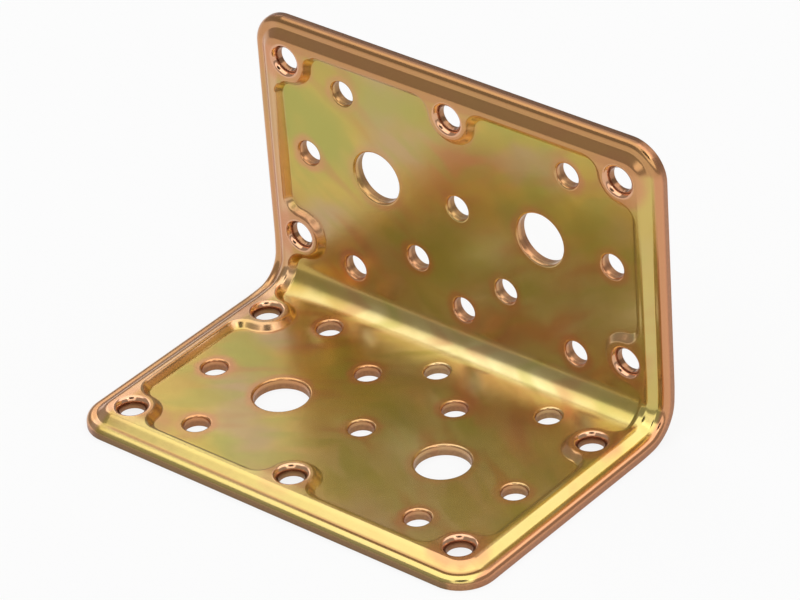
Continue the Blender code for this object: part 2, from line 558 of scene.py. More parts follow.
    def _skin(self, mesh: bmesh.types.BMesh, outline: Outline, profile: list[Point]) -> list[Loop]:
        """Adds one moulding: an outline's loops at some offsets and heights, and the faces between them.

        Args:
            mesh: the blank's mesh.
            outline: gives the outline at an offset.
            profile: the offset and the height of each loop.

        Returns:
            The loops.
        """
        loops = [self._loop(mesh, outline(offset), height) for offset, height in profile]
        for first, second in zip(loops, loops[1:]):
            for i in range(len(first)):
                mesh.faces.new((first[i - 1], first[i], second[i], second[i - 1]))
        return loops

    @staticmethod
    def _fill(mesh: bmesh.types.BMesh, *loops: Loop) -> None:
        """Adds flat faces inside one loop, or between two."""
        edges = [mesh.edges.get((loop[i - 1], loop[i])) for loop in loops for i in range(len(loop))]
        bmesh.ops.triangle_fill(mesh, edges=edges, use_beauty=True, normal=(0, 0, 1))

    def _slope(self, foot: float, run: float, base: float) -> list[Point]:
        """The profile of one slope, with a narrow flat strip at each end that keeps the flats' shading flat.

        Args:
            foot: the offset at the slope's foot.
            run: the slope's width.
            base: the foot's height.

        Returns:
            Offsets and heights, from the foot to the crest.
        """
        section = self.section
        profile = [(foot - section.holding, base)]
        for i in range(section.slope_steps + 1):
            part = i / section.slope_steps
            profile.append((foot + part * run, base + section.rise(part)))
        return [*profile, (foot + run + section.holding, base + section.bead_height)]

    def _edge_profile(self) -> list[Point]:
        """The profile of the sheet's cut edge, rounded above and with a small burr radius below.

        Returns:
            Insets and heights, from the flange to the underside.
        """
        section = self.section
        radius, burr = section.edge_radius, section.burr_radius
        profile = [(radius + section.holding, 0.0)]
        for i in range(section.edge_steps + 1):
            turn = RIGHT_ANGLE * i / section.edge_steps
            profile.append((radius * (1 - math.sin(turn)), -radius * (1 - math.cos(turn))))
        for i in range(section.burr_steps + 1):
            turn = RIGHT_ANGLE * i / section.burr_steps
            profile.append((burr * (1 - math.cos(turn)), -section.sheet + burr * (1 - math.sin(turn))))
        return [*profile, (burr + section.holding, -section.sheet)]

    def _fold_lines(self, mesh: bmesh.types.BMesh) -> None:
        """Cuts lines across the blank where it will bend.

        Args:
            mesh: the blank's mesh.
        """
        places = [self.half_arc * (2 * i / self.fold_steps - 1) for i in range(self.fold_steps + 1)]
        for i in range(1, self.run_out_steps + 1):
            past = self.half_arc + self.run_out * i / self.run_out_steps
            places += [past, -past]
        for place in places:
            bmesh.ops.bisect_plane(
                mesh,
                geom=mesh.verts[:] + mesh.edges[:] + mesh.faces[:],
                dist=SAME_PLACE,
                plane_co=(0, place, 0),
                plane_no=(0, 1, 0),
            )

    def build(self) -> bpy.types.Object:
        """Makes the flat blank.

        The bead stands on the upper face, and under it lies a groove that is narrower by what a bent sheet of
        even thickness draws in on its hollow side.

        Returns:
            The blank as an object, before its holes and its fold.
        """
        section = self.section
        mean_angle = math.atan2(section.bead_height, (section.outer_run + section.inner_run) / 2)
        draw_in = section.sheet * math.tan(mean_angle / 2)
        groove_run = (section.bead_width - 2 * draw_in) * section.groove_share
        upper_runs = (section.outer_run, section.inner_run)
        faces = ((0.0, 0.0, upper_runs), (draw_in, -section.sheet, (groove_run, groove_run)))
        mesh = bmesh.new()
        edge = self._skin(mesh, self.plate_outline, self._edge_profile())
        for rim, (inset, base, (outer_run, inner_run)) in zip((edge[0], edge[-1]), faces):
            outer_slope = self._slope(section.flange_width + inset, outer_run, base)
            outer = self._skin(mesh, self.plate_outline, outer_slope)
            inner = self._skin(mesh, self.panel_outline, self._slope(inset, inner_run, base))
            self._fill(mesh, rim, outer[0])
            self._fill(mesh, outer[-1], inner[-1])
            self._fill(mesh, inner[0])
        self._fold_lines(mesh)
        bmesh.ops.recalc_face_normals(mesh, faces=mesh.faces)
        return add_object("blank", mesh)


@dataclass
class Punching:
    """The punches that make the holes, and the press that sets one on each hole's place."""

    blank: PressedBlank
    small_sides: int = 48
    large_sides: int = 72
    clearance: float = 1.0 * MM
    lip_steps: int = 6

    def profile(self, kind: HoleKind) -> list[Point]:
        """The outline of one kind of punch.

        Args:
            kind: the kind of hole.

        Returns:
            Points of (radius, height), from the axis below to the axis above.
        """
        holes, section = self.blank.holes, self.blank.section
        bore = holes.bore(kind) / 2
        if kind is HoleKind.SCREW:
            top = section.bead_height
            head = holes.screw_head / 2
            lip = holes.head_lip
            turns = [math.pi / 4 * i / self.lip_steps for i in range(self.lip_steps + 1)]
            mouth = [(head - lip * math.sin(t), top - lip * (1 - math.cos(t))) for t in turns]
            throat = (bore, mouth[-1][1] - (mouth[-1][0] - bore))
            lip_points = [throat, *reversed(mouth)]
        else:
            top = 0.0
            size = holes.punch_round
            turns = [RIGHT_ANGLE * i / self.lip_steps for i in range(self.lip_steps + 1)]
            lip_points = [(bore + size * (1 - math.cos(t)), -size * (1 - math.sin(t))) for t in turns]
        under = top - section.sheet
        below = under - self.clearance
        above = top + self.clearance
        burr = [(bore + holes.burr, below), (bore + holes.burr, under), (bore, under + holes.burr)]
        return [(0.0, below), *burr, *lip_points, (lip_points[-1][0], above), (0.0, above)]

    def punch(self, kind: HoleKind) -> bpy.types.Object:
        """Turns one kind of punch about its axis.

        Args:
            kind: the kind of hole.

        Returns:
            The punch.
        """
        mesh = bmesh.new()
        verts = [mesh.verts.new((radius, 0, height)) for radius, height in self.profile(kind)]
        edges = [mesh.edges.new(pair) for pair in zip(verts, verts[1:])]
        bmesh.ops.spin(
            mesh,
            geom=verts + edges,
            axis=(0, 0, 1),
            angle=2 * math.pi,
            steps=self.large_sides if kind is HoleKind.BOLT else self.small_sides,
            use_merge=True,
        )
        bmesh.ops.remove_doubles(mesh, verts=mesh.verts, dist=SAME_PLACE)
        bmesh.ops.recalc_face_normals(mesh, faces=mesh.faces)
        return add_object(f"{kind.value}_punch", mesh)

    def marks(self, kind: HoleKind) -> bpy.types.Object:
        """Marks the holes of one kind on the blank.

        Args:
            kind: the kind of hole.

        Returns:
            An object with one loose point for each hole.
        """
        mesh = bmesh.new()
        places = {
            (a * u, b * self.blank.flat(v))
            for u, v in self.blank.holes.places(kind)
            for a in (-1, 1)
            for b in (-1, 1)
        }
        for u, s in sorted(places):
            mesh.verts.new((u, s, 0))
        return add_object(f"{kind.value}_marks", mesh)

    @staticmethod
    def tree() -> Tree:
        """The node tree of the press: a punch on each mark, cut out of the sheet.

        Returns:
            A tree with the inputs Sheet, Marks, Punch and Metal.
        """
        tree = new_sheet_tree("punch_press", {"Marks": "Object", "Punch": "Object"})
        given = add_node(tree, "NodeGroupInput").outputs
        marks = add_node(tree, "GeometryNodeObjectInfo", {"Object": given["Marks"]})
        punch = add_node(tree, "GeometryNodeObjectInfo", {"Object": given["Punch"]})
        placed = add_node(
            tree,
            "GeometryNodeInstanceOnPoints",
            {"Points": marks.outputs["Geometry"], "Instance": punch.outputs["Geometry"]},
        )
        cutters = add_node(tree, "GeometryNodeRealizeInstances", {"Geometry": placed.outputs[0]})
        cut = add_node(
            tree,
            "GeometryNodeMeshBoolean",
            {"Mesh 1": given["Sheet"], "Mesh 2": cutters.outputs[0]},
            operation="DIFFERENCE",
            solver="EXACT",
        )
        end_sheet_tree(tree, cut.outputs["Mesh"], given["Metal"])
        return tree

    def punch_all(self, sheet: bpy.types.Object, metal: bpy.types.Material) -> list[bpy.types.Object]:
        """Sets the press on the sheet once for each kind of hole.

        Args:
            sheet: the blank.
            metal: the finish, which the press sets.

        Returns:
            The marks and punches, to be cleared away after the sheet is evaluated.
        """
        tree = self.tree()
        tools = []
        for kind in HoleKind:
            marks, punch = self.marks(kind), self.punch(kind)
            set_tree(sheet, tree, f"{kind.value}_holes", {"Marks": marks, "Punch": punch, "Metal": metal})
            tools += [marks, punch]
        return tools


@dataclass
class FoldPress:
    """The press that folds the punched sheet to a right angle, the inside towards -Y and +Z."""

    blank: PressedBlank
    inputs: ClassVar[tuple[str, ...]] = ("Radius", "Half arc", "Run out", "Slope", "Axis y", "Axis z")

    def tree(self) -> Tree:
        """The node tree of the fold.

        The face of the fold turns by s over the radius, a point's height brings it nearer the axis, and what
        is past the fold's ends runs on straight. The bend is not crisp: it runs out softly in the leaves, so
        the sheet stands up to 0.4 mm nearer the axis, less and less as far as the end of the run-out.

        Returns:
            A tree with the inputs Sheet, Radius, Half arc, Run out, Slope, Axis y, Axis z and Metal.
        """
        tree = new_sheet_tree("fold_press", dict.fromkeys(self.inputs, "Float"))
        given = add_node(tree, "NodeGroupInput").outputs
        sizes = [Amount(tree, given[name]) for name in self.inputs]
        radius, half_arc, run_out, slope, axis_y, axis_z = sizes
        place = BlankPlace(tree, add_node(tree, "GeometryNodeInputPosition").outputs[0])
        kept = add_node(
            tree,
            "GeometryNodeStoreNamedAttribute",
            {"Geometry": given["Sheet"], "Name": "blank", "Value": place},
            data_type="FLOAT_VECTOR",
            domain="POINT",
        )
        u, s, k = place.parts()
        bent = s.most(half_arc * -1.0).least(half_arc)
        straight = s - bent
        turn = bent / radius - RIGHT_ANGLE / 2
        tail = (half_arc + run_out - abs(s)).most(0.0).least(run_out)
        inner = abs(s).least(half_arc)
        lift = (tail * tail / run_out + half_arc - inner * inner / half_arc) * slope * 0.5
        from_axis = radius - k - lift
        sine = turn.worked("SINE", turn)
        cosine = turn.worked("COSINE", turn)
        y = axis_y + from_axis * cosine - straight * sine
        z = axis_z + from_axis * sine + straight * cosine
        folded = add_node(tree, "ShaderNodeCombineXYZ", {0: u, 1: y, 2: z})
        links = {"Geometry": kept.outputs[0], "Position": folded.outputs[0]}
        moved = add_node(tree, "GeometryNodeSetPosition", links)
        end_sheet_tree(tree, moved.outputs[0], given["Metal"])
        return tree

    def fold(self, sheet: bpy.types.Object, metal: bpy.types.Material) -> None:
        """Sets the fold on the sheet, after its holes.

        Args:
            sheet: the punched sheet.
            metal: the finish, which the press sets.
        """
        blank = self.blank
        axis_y = blank.leg / 2 - blank.section.sheet - blank.fold_radius
        axis_z = blank.section.sheet + blank.fold_radius
        sizes = (blank.fold_radius, blank.half_arc, blank.run_out, blank.run_out_slope, axis_y, axis_z)
        set_tree(sheet, self.tree(), "fold", {**dict(zip(self.inputs, sizes)), "Metal": metal})


@dataclass
class CornerPlate:
    """The whole plate: pressed, punched, folded and shaded."""

    blank: PressedBlank = field(default_factory=PressedBlank)
    sharp_angle: float = math.radians(50)
    flat_weight: int = 100

    def build(self, metal: bpy.types.Material) -> bpy.types.Object:
        """Makes the plate as one plain mesh.

        Args:
            metal: the plate's finish.

        Returns:
            The plate, in the place of the CAD node.
        """
        sheet = self.blank.build()
        sheet.data.materials.append(metal)
        tools = Punching(self.blank).punch_all(sheet, metal)
        FoldPress(self.blank).fold(sheet, metal)
        mesh = self._plain_mesh(sheet, "folded_sheet")
        for obj in (sheet, *tools):
            bpy.data.objects.remove(obj)
        plate = bpy.data.objects.new("pressed_plate", mesh)
        bpy.context.scene.collection.objects.link(plate)
        self._shade(plate)
        return plate

    @staticmethod
    def _plain_mesh(obj: bpy.types.Object, name: str) -> bpy.types.Mesh:
        """Takes an object's evaluated mesh.

        Args:
            obj: the object.
            name: the new mesh's name.

        Returns:
            A mesh of its own, with its attributes.
        """
        graph = bpy.context.evaluated_depsgraph_get()
        mesh = bpy.data.meshes.new_from_object(
            obj.evaluated_get(graph), preserve_all_data_layers=True, depsgraph=graph
        )
        mesh.name = name
        return mesh

    def _shade(self, plate: bpy.types.Object) -> None:
        """Shades the plate smooth, so that large flat faces stay flat and only real edges are sharp.

        Args:
            plate: the plate.
        """
        plate.data.shade_smooth()
        plate.data.set_sharp_from_angle(angle=self.sharp_angle)
        weighted = plate.modifiers.new("flat_faces", "WEIGHTED_NORMAL")
        weighted.mode = "FACE_AREA_WITH_ANGLE"
        weighted.weight = self.flat_weight
        weighted.keep_sharp = True
        folded = plate.data
        plate.data = self._plain_mesh(plate, "pressed_plate")
        plate.modifiers.clear()
        bpy.data.meshes.remove(folded)

    def dress(self, plate: bpy.types.Object) -> None:
        """Hides the CAD node that the plate stands in for, and attaches the plate to the body that it moves
        with.

        Args:
            plate: the plate.
        """
        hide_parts("corner_plate")
        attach(plate, "root")


class Tint(Enum):
    """The colours that the chromate film takes, from thin to thick; some are also laid as painted light and
    shade.
    """

    # Painted highlight: the bright band along the fold on the base leaf.
    MILKY = "#F0DFA0"
    # Painted reflection: paler, where each leaf mirrors the other.
    PALE = "#CDBC86"
    CREAM = "#DDC576"
    # Laid as a painted highlight on the front and right rims.
    STRAW = "#D2B458"
    GOLD = "#CBA854"
    GREEN = "#B6AE54"
    PEARL = "#C8A87A"
    RUSSET = "#C98F5C"
    SALMON = "#D8946A"
    BLUSH = "#EBB592"
    BROWN = "#A87848"
    # Dark brown of the torn walls, also laid as painted shade on the end walls and in the screw throats.
    RUST = "#7A5238"


@dataclass(frozen=True)
class Grain:
    """One soft random pattern.

    Attributes:
        width: about how wide its patches are, in millimetres.
        seed: where in the noise it starts.
        detail: how many times it is laid over itself at half the size.
    """

    width: float
    seed: int
    detail: float = 2.0


@dataclass(frozen=True)
class PatchOfFilmOrLight:
    """One soft patch of the film, where the bath drained, or of painted highlight or reflection. Lengths are
    in millimetres.

    Attributes:
        u: its middle's place along the fold.
        v: its middle's distance from the inside corner, along the leaf.
        long: its half length.
        wide: its half width.
        turn: its turn in degrees, which rises to the right on the blank, seen from inside the angle.
        tint: its tint.
        strength: how much of the tint its middle has.
    """

    u: float
    v: float
    long: float
    wide: float
    turn: float
    tint: Tint
    strength: float = 0.75


@dataclass(frozen=True)
class BandOfFilmOrLight:
    """Film that gathers near an edge or a hole, or painted highlight or shade along an edge.

    Attributes:
        start: how far from it the film begins to change, in millimetres.
        full: how far from it the change is whole.
        low: its strength where the film is thin.
        high: its strength where the film is thick.
        tint: its tint.
    """

    start: float
    full: float
    low: float
    high: float
    tint: Tint

    def share(self, distance: Amount, thick: Amount) -> Amount:
        """How much of the tint a point has, from its distance and from how thick the film is there."""
        return distance.fade(self.start, self.full) * thick.between(self.low, self.high)


class FilmField:
    """The flat blank as the finish sees it, in millimetres.

    Attributes:
        tree: the material's node tree.
        flat: the place.
        height: its k.
        from_left: how far it lies from the left end, seen from inside the angle.
        from_right: the same for the right end.
        from_front: the same for the free edge of the base leaf.
        from_top: the same for the free edge of the upright leaf.
        from_edge: how far it lies inside the nearest edge.
        from_screw: how far it lies outside the wall of the nearest screw hole.
        from_hole: the same for all kinds of hole.
        wall: 1 on the sheared walls of the holes and of the edge, 0 on the faces.
    """

    # What keeps u and s of a place and drops its height, and where a squeezed patch is measured from.
    IN_PLANE: ClassVar[Triple] = (1.0, 1.0, 0.0)
    MIDDLE: ClassVar[Triple] = (0.0, 0.0, 0.0)
    # The mean of a noise's three colours.
    NOISE_MEAN: ClassVar[Triple] = (0.5, 0.5, 0.5)
    # How far one seed's pattern lies from the next, in millimetres.
    SEED_STEP: ClassVar[Triple] = (37.0, 19.0, 53.0)
    # Distances from a hole or the edge between which a face gives way to a wall.
    WALL_LIMITS: ClassVar[Point] = (0.25, 0.03)
    # The colour sockets of the mix node, which share their names with its other kinds of socket.
    MIX_UNDER: ClassVar[int] = 6
    MIX_OVER: ClassVar[int] = 7
    MIX_RESULT: ClassVar[int] = 2

    def __init__(self, tree: Tree, blank: PressedBlank) -> None:
        """Works out the distances in a material's tree.

        Args:
            tree: the material's node tree.
            blank: the plate's sizes.
        """
        self.tree = tree
        place = add_node(tree, "ShaderNodeAttribute", attribute_name="blank").outputs["Vector"]
        self.flat = BlankPlace(tree, place) * (1 / MM, 1 / MM, 1 / MM)
        u, s, self.height = self.flat.parts()
        side = blank.length / 2 / MM
        end = blank.flat(blank.reach) / MM
        self.from_left = u + side
        self.from_right = side - u
        self.from_front = s + end
        self.from_top = end - s
        quarter = abs(self.flat * self.IN_PLANE)
        self.from_edge = self._edge_distance(quarter, blank)
        self.from_screw = self._hole_distance(quarter, blank, [HoleKind.SCREW])
        plain = self._hole_distance(quarter, blank, [HoleKind.NAIL, HoleKind.BOLT])
        self.from_hole = self.from_screw.least(plain)
        self.wall = self.from_hole.least(self.from_edge).fade(*self.WALL_LIMITS)

    @staticmethod
    def _hole_distance(quarter: BlankPlace, blank: PressedBlank, kinds: list[HoleKind]) -> Amount:
        """Distance from the wall of the nearest hole of some kinds.

        Args:
            quarter: the place, mirrored into the first quarter.
            blank: the plate's sizes.
            kinds: the kinds of hole.

        Returns:
            The distance, below 0 inside a hole.
        """
        gaps = [
            quarter.distance((u / MM, blank.flat(v) / MM, 0.0)) - blank.holes.bore(kind) / 2 / MM
            for kind in kinds
            for u, v in blank.holes.places(kind)
        ]
        return reduce(Amount.least, gaps)

    @staticmethod
    def _edge_distance(quarter: BlankPlace, blank: PressedBlank) -> Amount:
        """Distance from the blank's edge, whose corners are round.

        Args:
            quarter: the place, mirrored into the first quarter.
            blank: the plate's sizes.

        Returns:
            The distance, above 0 inside the blank.
        """
        radius = blank.corner_radius / MM
        u, s, _ = quarter.parts()
        across = u - (blank.length / 2 / MM - radius)
        along = s - (blank.flat(blank.reach) / MM - radius)
        past_u, past_s = across.most(0.0), along.most(0.0)
        squares = past_u * past_u + past_s * past_s
        corner = squares.worked("SQRT", squares)
        return radius - (corner + across.most(along).least(0.0))

    def noise(self, grain: Grain) -> Amount:
        """Soft noise between 0 and 1.

        Args:
            grain: the pattern.

        Returns:
            The noise.
        """
        shifted = self.flat + tuple(grain.seed * step for step in self.SEED_STEP)
        links = {"Vector": shifted, "Scale": 1 / grain.width, "Detail": grain.detail}
        return Amount(self.tree, add_node(self.tree, "ShaderNodeTexNoise", links).outputs["Fac"])

    def laid(self, share: Amount, under: Socket | Tint, over: Socket | Tint) -> Socket:
        """Lays one colour over another.

        Args:
            share: how much of the upper colour shows, from 0 to 1.
            under: the lower colour.
            over: the upper colour.

        Returns:
            The mixed colour.
        """
        links = {0: share}
        for key, colour in ((self.MIX_UNDER, under), (self.MIX_OVER, over)):
            links[key] = linear(colour.value) if isinstance(colour, Tint) else colour
        return add_node(self.tree, "ShaderNodeMix", links, data_type="RGBA").outputs[self.MIX_RESULT]


@dataclass(frozen=True)
class YellowChromate:
    """Mild steel sheet, zinc plated, then dipped in a yellow chromate.

    The film is a few tenths of a micrometre thick, and where the bath drained slowly it is thicker, so that
    its colour drifts from straw and olive green to a pinkish pearl and russet. It is salmon round the holes
    and on the side edges. The film is a little milky and shines on its own surface too. The plating under it
    is bright and only a little soft, so the plate mirrors the room in broad soft shapes. The pressed rim is
    burnished. On the sheared walls the upper part is smooth, and the lower part is torn and dull.

    Light and shade are painted over these colours: cream highlights on the front and right rims, a milky
    highlight along the fold on the base, blush highlights in the countersinks and paler tints where each leaf
    mirrors the other; and brown shade in the front crease, along the upper edge, in the screw throats and on
    the walls of the two ends. The left rim is laid blush and salmon, and the upper rim russet.
    """

    name: str = "yellow_chromate_on_zinc"

    # How the plating and the film over it shine, from the mirror-bright countersinks to the torn walls.
    metallic: float = 0.93
    sheen_coat: float = 0.4
    roughness: float = 0.235
    rim_roughness: float = 0.185
    cone_roughness: float = 0.11
    torn_roughness: float = 0.42
    cloud_roughness: float = 0.03
    clouds: Grain = Grain(6.0, 3, 3.0)
    rim_limits: Point = (7.5, 6.5)
    polished_limits: Point = (1.3, 1.0)
    polished_heights: Point = (0.1, 0.3)

    # Relief in millimetres: the rolled sheet's waves, the plating's fine grain, and the tear on the walls.
    wave: float = 0.03
    waves: Grain = Grain(7.0, 6)
    grain: float = 0.0012
    grains: Grain = Grain(0.45, 8)
    tear: float = 0.03
    tears: Grain = Grain(0.3, 9)
    torn_heights: Point = (-0.8, -1.4)

    # The slow drift of the film's tint over the whole sheet.
    drift: Grain = Grain(30.0, 4, 3.0)
    drift_tints: tuple[tuple[float, Tint], ...] = (
        (0.34, Tint.GREEN),
        (0.45, Tint.STRAW),
        (0.57, Tint.GOLD),
        (0.70, Tint.PEARL),
    )

    # How far the bath smeared the patches, and the thin streaks that it drew while it ran off.
    smear: Grain = Grain(11.0, 0, 2.5)
    smear_reach: float = 13.0
    patch_limits: Point = (1.5, 0.2)
    streak_size: Point = (20.0, 5.0)
    streak_turn: float = 32.0
    streak_sway: float = 0.25
    streak_detail: float = 1.0
    streak_strength: float = 0.5
    russet_limits: Point = (0.52, 0.72)
    green_limits: Point = (0.48, 0.3)

    # Bands near a hole or an edge. Round the holes and on the right edge the film gathers salmon. The cream on
    # the front and right rims is a painted highlight, the brown line in the front crease and the brown along
    # the upper edge are painted shade, and the left and upper rims are laid blush and russet. The first two
    # have ragged outlines.
    rag: Grain = Grain(3.0, 2)
    rag_reach: float = 0.8
    thickness: Grain = Grain(17.0, 5)
    thick_limits: Point = (0.38, 0.58)
    halo: BandOfFilmOrLight = BandOfFilmOrLight(2.4, 0.6, 0.3, 0.75, Tint.SALMON)
    lobe: BandOfFilmOrLight = BandOfFilmOrLight(4.6, 2.2, 0.25, 0.75, Tint.SALMON)
    right_edge: BandOfFilmOrLight = BandOfFilmOrLight(1.9, 0.9, 0.9, 0.9, Tint.SALMON)
    # Painted highlight: cream over the front and right rims.
    front_rim_highlight: BandOfFilmOrLight = BandOfFilmOrLight(6.8, 5.6, 0.8, 0.8, Tint.CREAM)
    right_rim_highlight: BandOfFilmOrLight = BandOfFilmOrLight(6.6, 5.4, 0.56, 0.56, Tint.CREAM)
    # Painted shade: a thin brown line in the crease at the foot of the front bead.
    crease_shade: BandOfFilmOrLight = BandOfFilmOrLight(0.7, 0.15, 0.85, 0.85, Tint.BROWN)
    left_rim: BandOfFilmOrLight = BandOfFilmOrLight(7.2, 5.8, 0.7, 0.7, Tint.BLUSH)
    upper_rim: BandOfFilmOrLight = BandOfFilmOrLight(6.6, 5.4, 0.85, 0.85, Tint.RUSSET)
    # Painted shade: brown along the upper edge.
    upper_edge_shade: BandOfFilmOrLight = BandOfFilmOrLight(1.5, 0.9, 0.6, 0.6, Tint.BROWN)
    front_starts: Point = (6.0, 11.0)
    crease_place: float = 1.9
    left_crest: Point = (4.0, 5.0)

    # The walls: how far their tint shows on the edge, in the bores and in the screw holes. The brown on the
    # end walls and in the screw throats is painted shade, and the blush over the countersinks is a painted
    # highlight.
    # Painted shade: brown on the walls of the sheet's two ends.
    end_limits: Point = (0.5, 0.2)
    cone_limits: Point = (1.25, 1.0)
    cone_heights: Point = (0.0, 0.2)
    # Painted highlight: blush over the countersinks.
    cone_highlight_strength: float = 0.7
    bore_limits: Point = (3.0, 1.0)
    wall_strengths: Point = (0.75, 0.25)
    throat_limits: Point = (1.0, 0.5)
    # Painted shade: brown in the screw throats.
    throat_shade: float = 0.8
    throat_strength: float = 0.45
    tear_streaks: Grain = Grain(0.5, 7, 3.0)
    tear_strengths: Point = (0.2, 0.8)

    upright_patches: tuple[PatchOfFilmOrLight, ...] = (
        # Painted reflection: a paler tint over the lower upright, which mirrors the base.
        PatchOfFilmOrLight(14.0, 17.0, 44.0, 17.0, 8.0, Tint.PALE, 0.9),
        PatchOfFilmOrLight(-20.0, 52.0, 17.0, 5.5, 10.0, Tint.GREEN),
        PatchOfFilmOrLight(-34.0, 41.0, 10.0, 4.0, 25.0, Tint.GREEN, 0.5),
        PatchOfFilmOrLight(-14.0, 42.0, 14.0, 4.5, 30.0, Tint.PEARL),
        PatchOfFilmOrLight(3.0, 44.0, 14.0, 5.5, 26.0, Tint.RUSSET, 0.9),
        PatchOfFilmOrLight(19.0, 50.0, 10.0, 4.0, 15.0, Tint.PEARL),
        PatchOfFilmOrLight(36.0, 40.0, 8.0, 6.0, 10.0, Tint.GREEN, 0.5),
        PatchOfFilmOrLight(-36.0, 19.0, 9.0, 5.0, 25.0, Tint.PEARL, 0.9),
        PatchOfFilmOrLight(-17.0, 14.0, 10.0, 4.0, 20.0, Tint.PEARL, 0.6),
        PatchOfFilmOrLight(-2.0, 22.0, 16.0, 8.0, 25.0, Tint.GREEN, 0.6),
        PatchOfFilmOrLight(11.0, 9.0, 15.0, 4.0, 14.0, Tint.RUSSET, 0.8),
        PatchOfFilmOrLight(30.0, 27.0, 10.0, 4.0, 35.0, Tint.RUSSET, 0.35),
    )
    base_patches: tuple[PatchOfFilmOrLight, ...] = (
        # Painted reflection: a paler tint over the right of the base, which mirrors the upright.
        PatchOfFilmOrLight(20.0, 34.0, 34.0, 28.0, -45.0, Tint.PALE, 0.9),
        PatchOfFilmOrLight(-37.0, 16.0, 8.0, 4.0, -10.0, Tint.PEARL, 0.9),
        PatchOfFilmOrLight(-34.0, 25.0, 12.0, 4.5, -30.0, Tint.GREEN),
        PatchOfFilmOrLight(-37.0, 54.0, 7.0, 4.0, -20.0, Tint.RUSSET, 0.8),
        PatchOfFilmOrLight(-19.0, 46.0, 16.0, 6.0, -38.0, Tint.PEARL, 0.8),
        PatchOfFilmOrLight(-16.0, 54.0, 12.0, 3.0, -20.0, Tint.GREEN, 0.6),
        PatchOfFilmOrLight(-17.0, 19.0, 10.0, 5.0, -30.0, Tint.GREEN, 0.6),
        PatchOfFilmOrLight(12.0, 13.0, 10.0, 4.0, -25.0, Tint.RUSSET, 0.9),
        PatchOfFilmOrLight(6.0, 29.0, 14.0, 5.0, -40.0, Tint.GREEN, 0.5),
        PatchOfFilmOrLight(16.0, 46.0, 10.0, 5.0, -30.0, Tint.GREEN, 0.5),
        PatchOfFilmOrLight(30.0, 18.0, 10.0, 4.0, -25.0, Tint.RUSSET, 0.35),
        # Painted highlight: the bright band where the fold runs out onto the base.
        PatchOfFilmOrLight(2.0, 6.0, 50.0, 5.0, 0.0, Tint.MILKY, 0.85),
    )

    def _drifted(self, film: FilmField) -> Socket:
        """The slow drift of the film's tint.

        Args:
            film: the blank as the finish sees it.

        Returns:
            The colour.
        """
        ramp = add_node(film.tree, "ShaderNodeValToRGB", {"Fac": film.noise(self.drift)})
        stops = ramp.color_ramp.elements
        for stop, (position, tint) in zip(stops, (self.drift_tints[0], self.drift_tints[-1])):
            stop.position = position
            stop.color = linear(tint.value)
        for position, tint in self.drift_tints[1:-1]:
            stops.new(position).color = linear(tint.value)
        return ramp.outputs["Color"]

    def _patched(self, film: FilmField, blank: PressedBlank, colour: Socket) -> Socket:
        """Lays the patches, each with a ragged outline, and then the streaks.

        Args:
            film: the blank as the finish sees it.
            blank: the plate's sizes.
            colour: the colour under them.

        Returns:
            The colour of the faces.
        """
        links = {"Vector": film.flat, "Scale": 1 / self.smear.width, "Detail": self.smear.detail}
        smear = BlankPlace(film.tree, add_node(film.tree, "ShaderNodeTexNoise", links).outputs["Color"])
        shift = (smear - film.NOISE_MEAN) * (self.smear_reach, self.smear_reach, self.smear_reach)
        smeared = (film.flat + shift) * film.IN_PLANE
        for side, patches in ((1, self.upright_patches), (-1, self.base_patches)):
            for patch in patches:
                away = smeared - (patch.u, side * blank.flat(patch.v * MM) / MM, 0.0)
                squeezed = away.turned_back(patch.turn) * (1 / patch.long, 1 / patch.wide, 0.0)
                inside = squeezed.distance(film.MIDDLE).fade(*self.patch_limits)
                colour = film.laid(inside * patch.strength, colour, patch.tint)
        swayed = abs(film.flat + shift * (self.streak_sway, self.streak_sway, self.streak_sway))
        long, wide = self.streak_size
        drawn = swayed.turned_back(self.streak_turn) * (1 / long, 1 / wide, 0.0)
        links = {"Vector": drawn, "Scale": 1.0, "Detail": self.streak_detail}
        streak = Amount(film.tree, add_node(film.tree, "ShaderNodeTexNoise", links).outputs["Fac"])
        redder = streak.fade(*self.russet_limits) * self.streak_strength
        greener = streak.fade(*self.green_limits) * self.streak_strength
        return film.laid(greener, film.laid(redder, colour, Tint.RUSSET), Tint.GREEN)

    def _gathered_film_and_painted_light(self, film: FilmField, colour: Socket) -> Socket:
        """Lays the salmon film that gathers round the holes and on the right edge, and the rims' tints.

        Cream on the front and right rims is a painted highlight, and brown in the front crease and along the
        upper edge is painted shade. The left rim is laid blush and salmon, and the upper rim russet.

        Args:
            film: the blank as the finish sees it.
            colour: the colour under it.

        Returns:
            The colour.
        """
        ragged = film.noise(self.rag).between(-self.rag_reach, self.rag_reach)
        thick = film.noise(self.thickness).fade(*self.thick_limits)
        halo = self.halo.share(film.from_hole + ragged, thick)
        halo = halo.most(self.lobe.share(film.from_screw + ragged, thick))
        away_from_left = film.from_left.fade(*self.front_starts)
        # Painted highlight: cream over the front and right rims.
        front = self.front_rim_highlight.share(film.from_front, thick) * away_from_left
        rim_highlight = front.most(self.right_rim_highlight.share(film.from_right, thick))
        colour = film.laid(rim_highlight, colour, self.front_rim_highlight.tint)
        # Painted shade: a thin brown line in the crease at the foot of the front bead.
        crease_shade = self.crease_shade.share(abs(film.from_edge - self.crease_place), thick)
        at_front = film.from_front.fade(self.front_rim_highlight.start, self.front_rim_highlight.full) * away_from_left
        colour = film.laid(crease_shade * at_front, colour, self.crease_shade.tint)
        left_tint = film.laid(film.from_left.fade(*self.left_crest), Tint.SALMON, self.left_rim.tint)
        colour = film.laid(self.left_rim.share(film.from_left, thick), colour, left_tint)
        halo = halo.most(self.right_edge.share(film.from_right, thick))
        colour = film.laid(halo, colour, self.halo.tint)
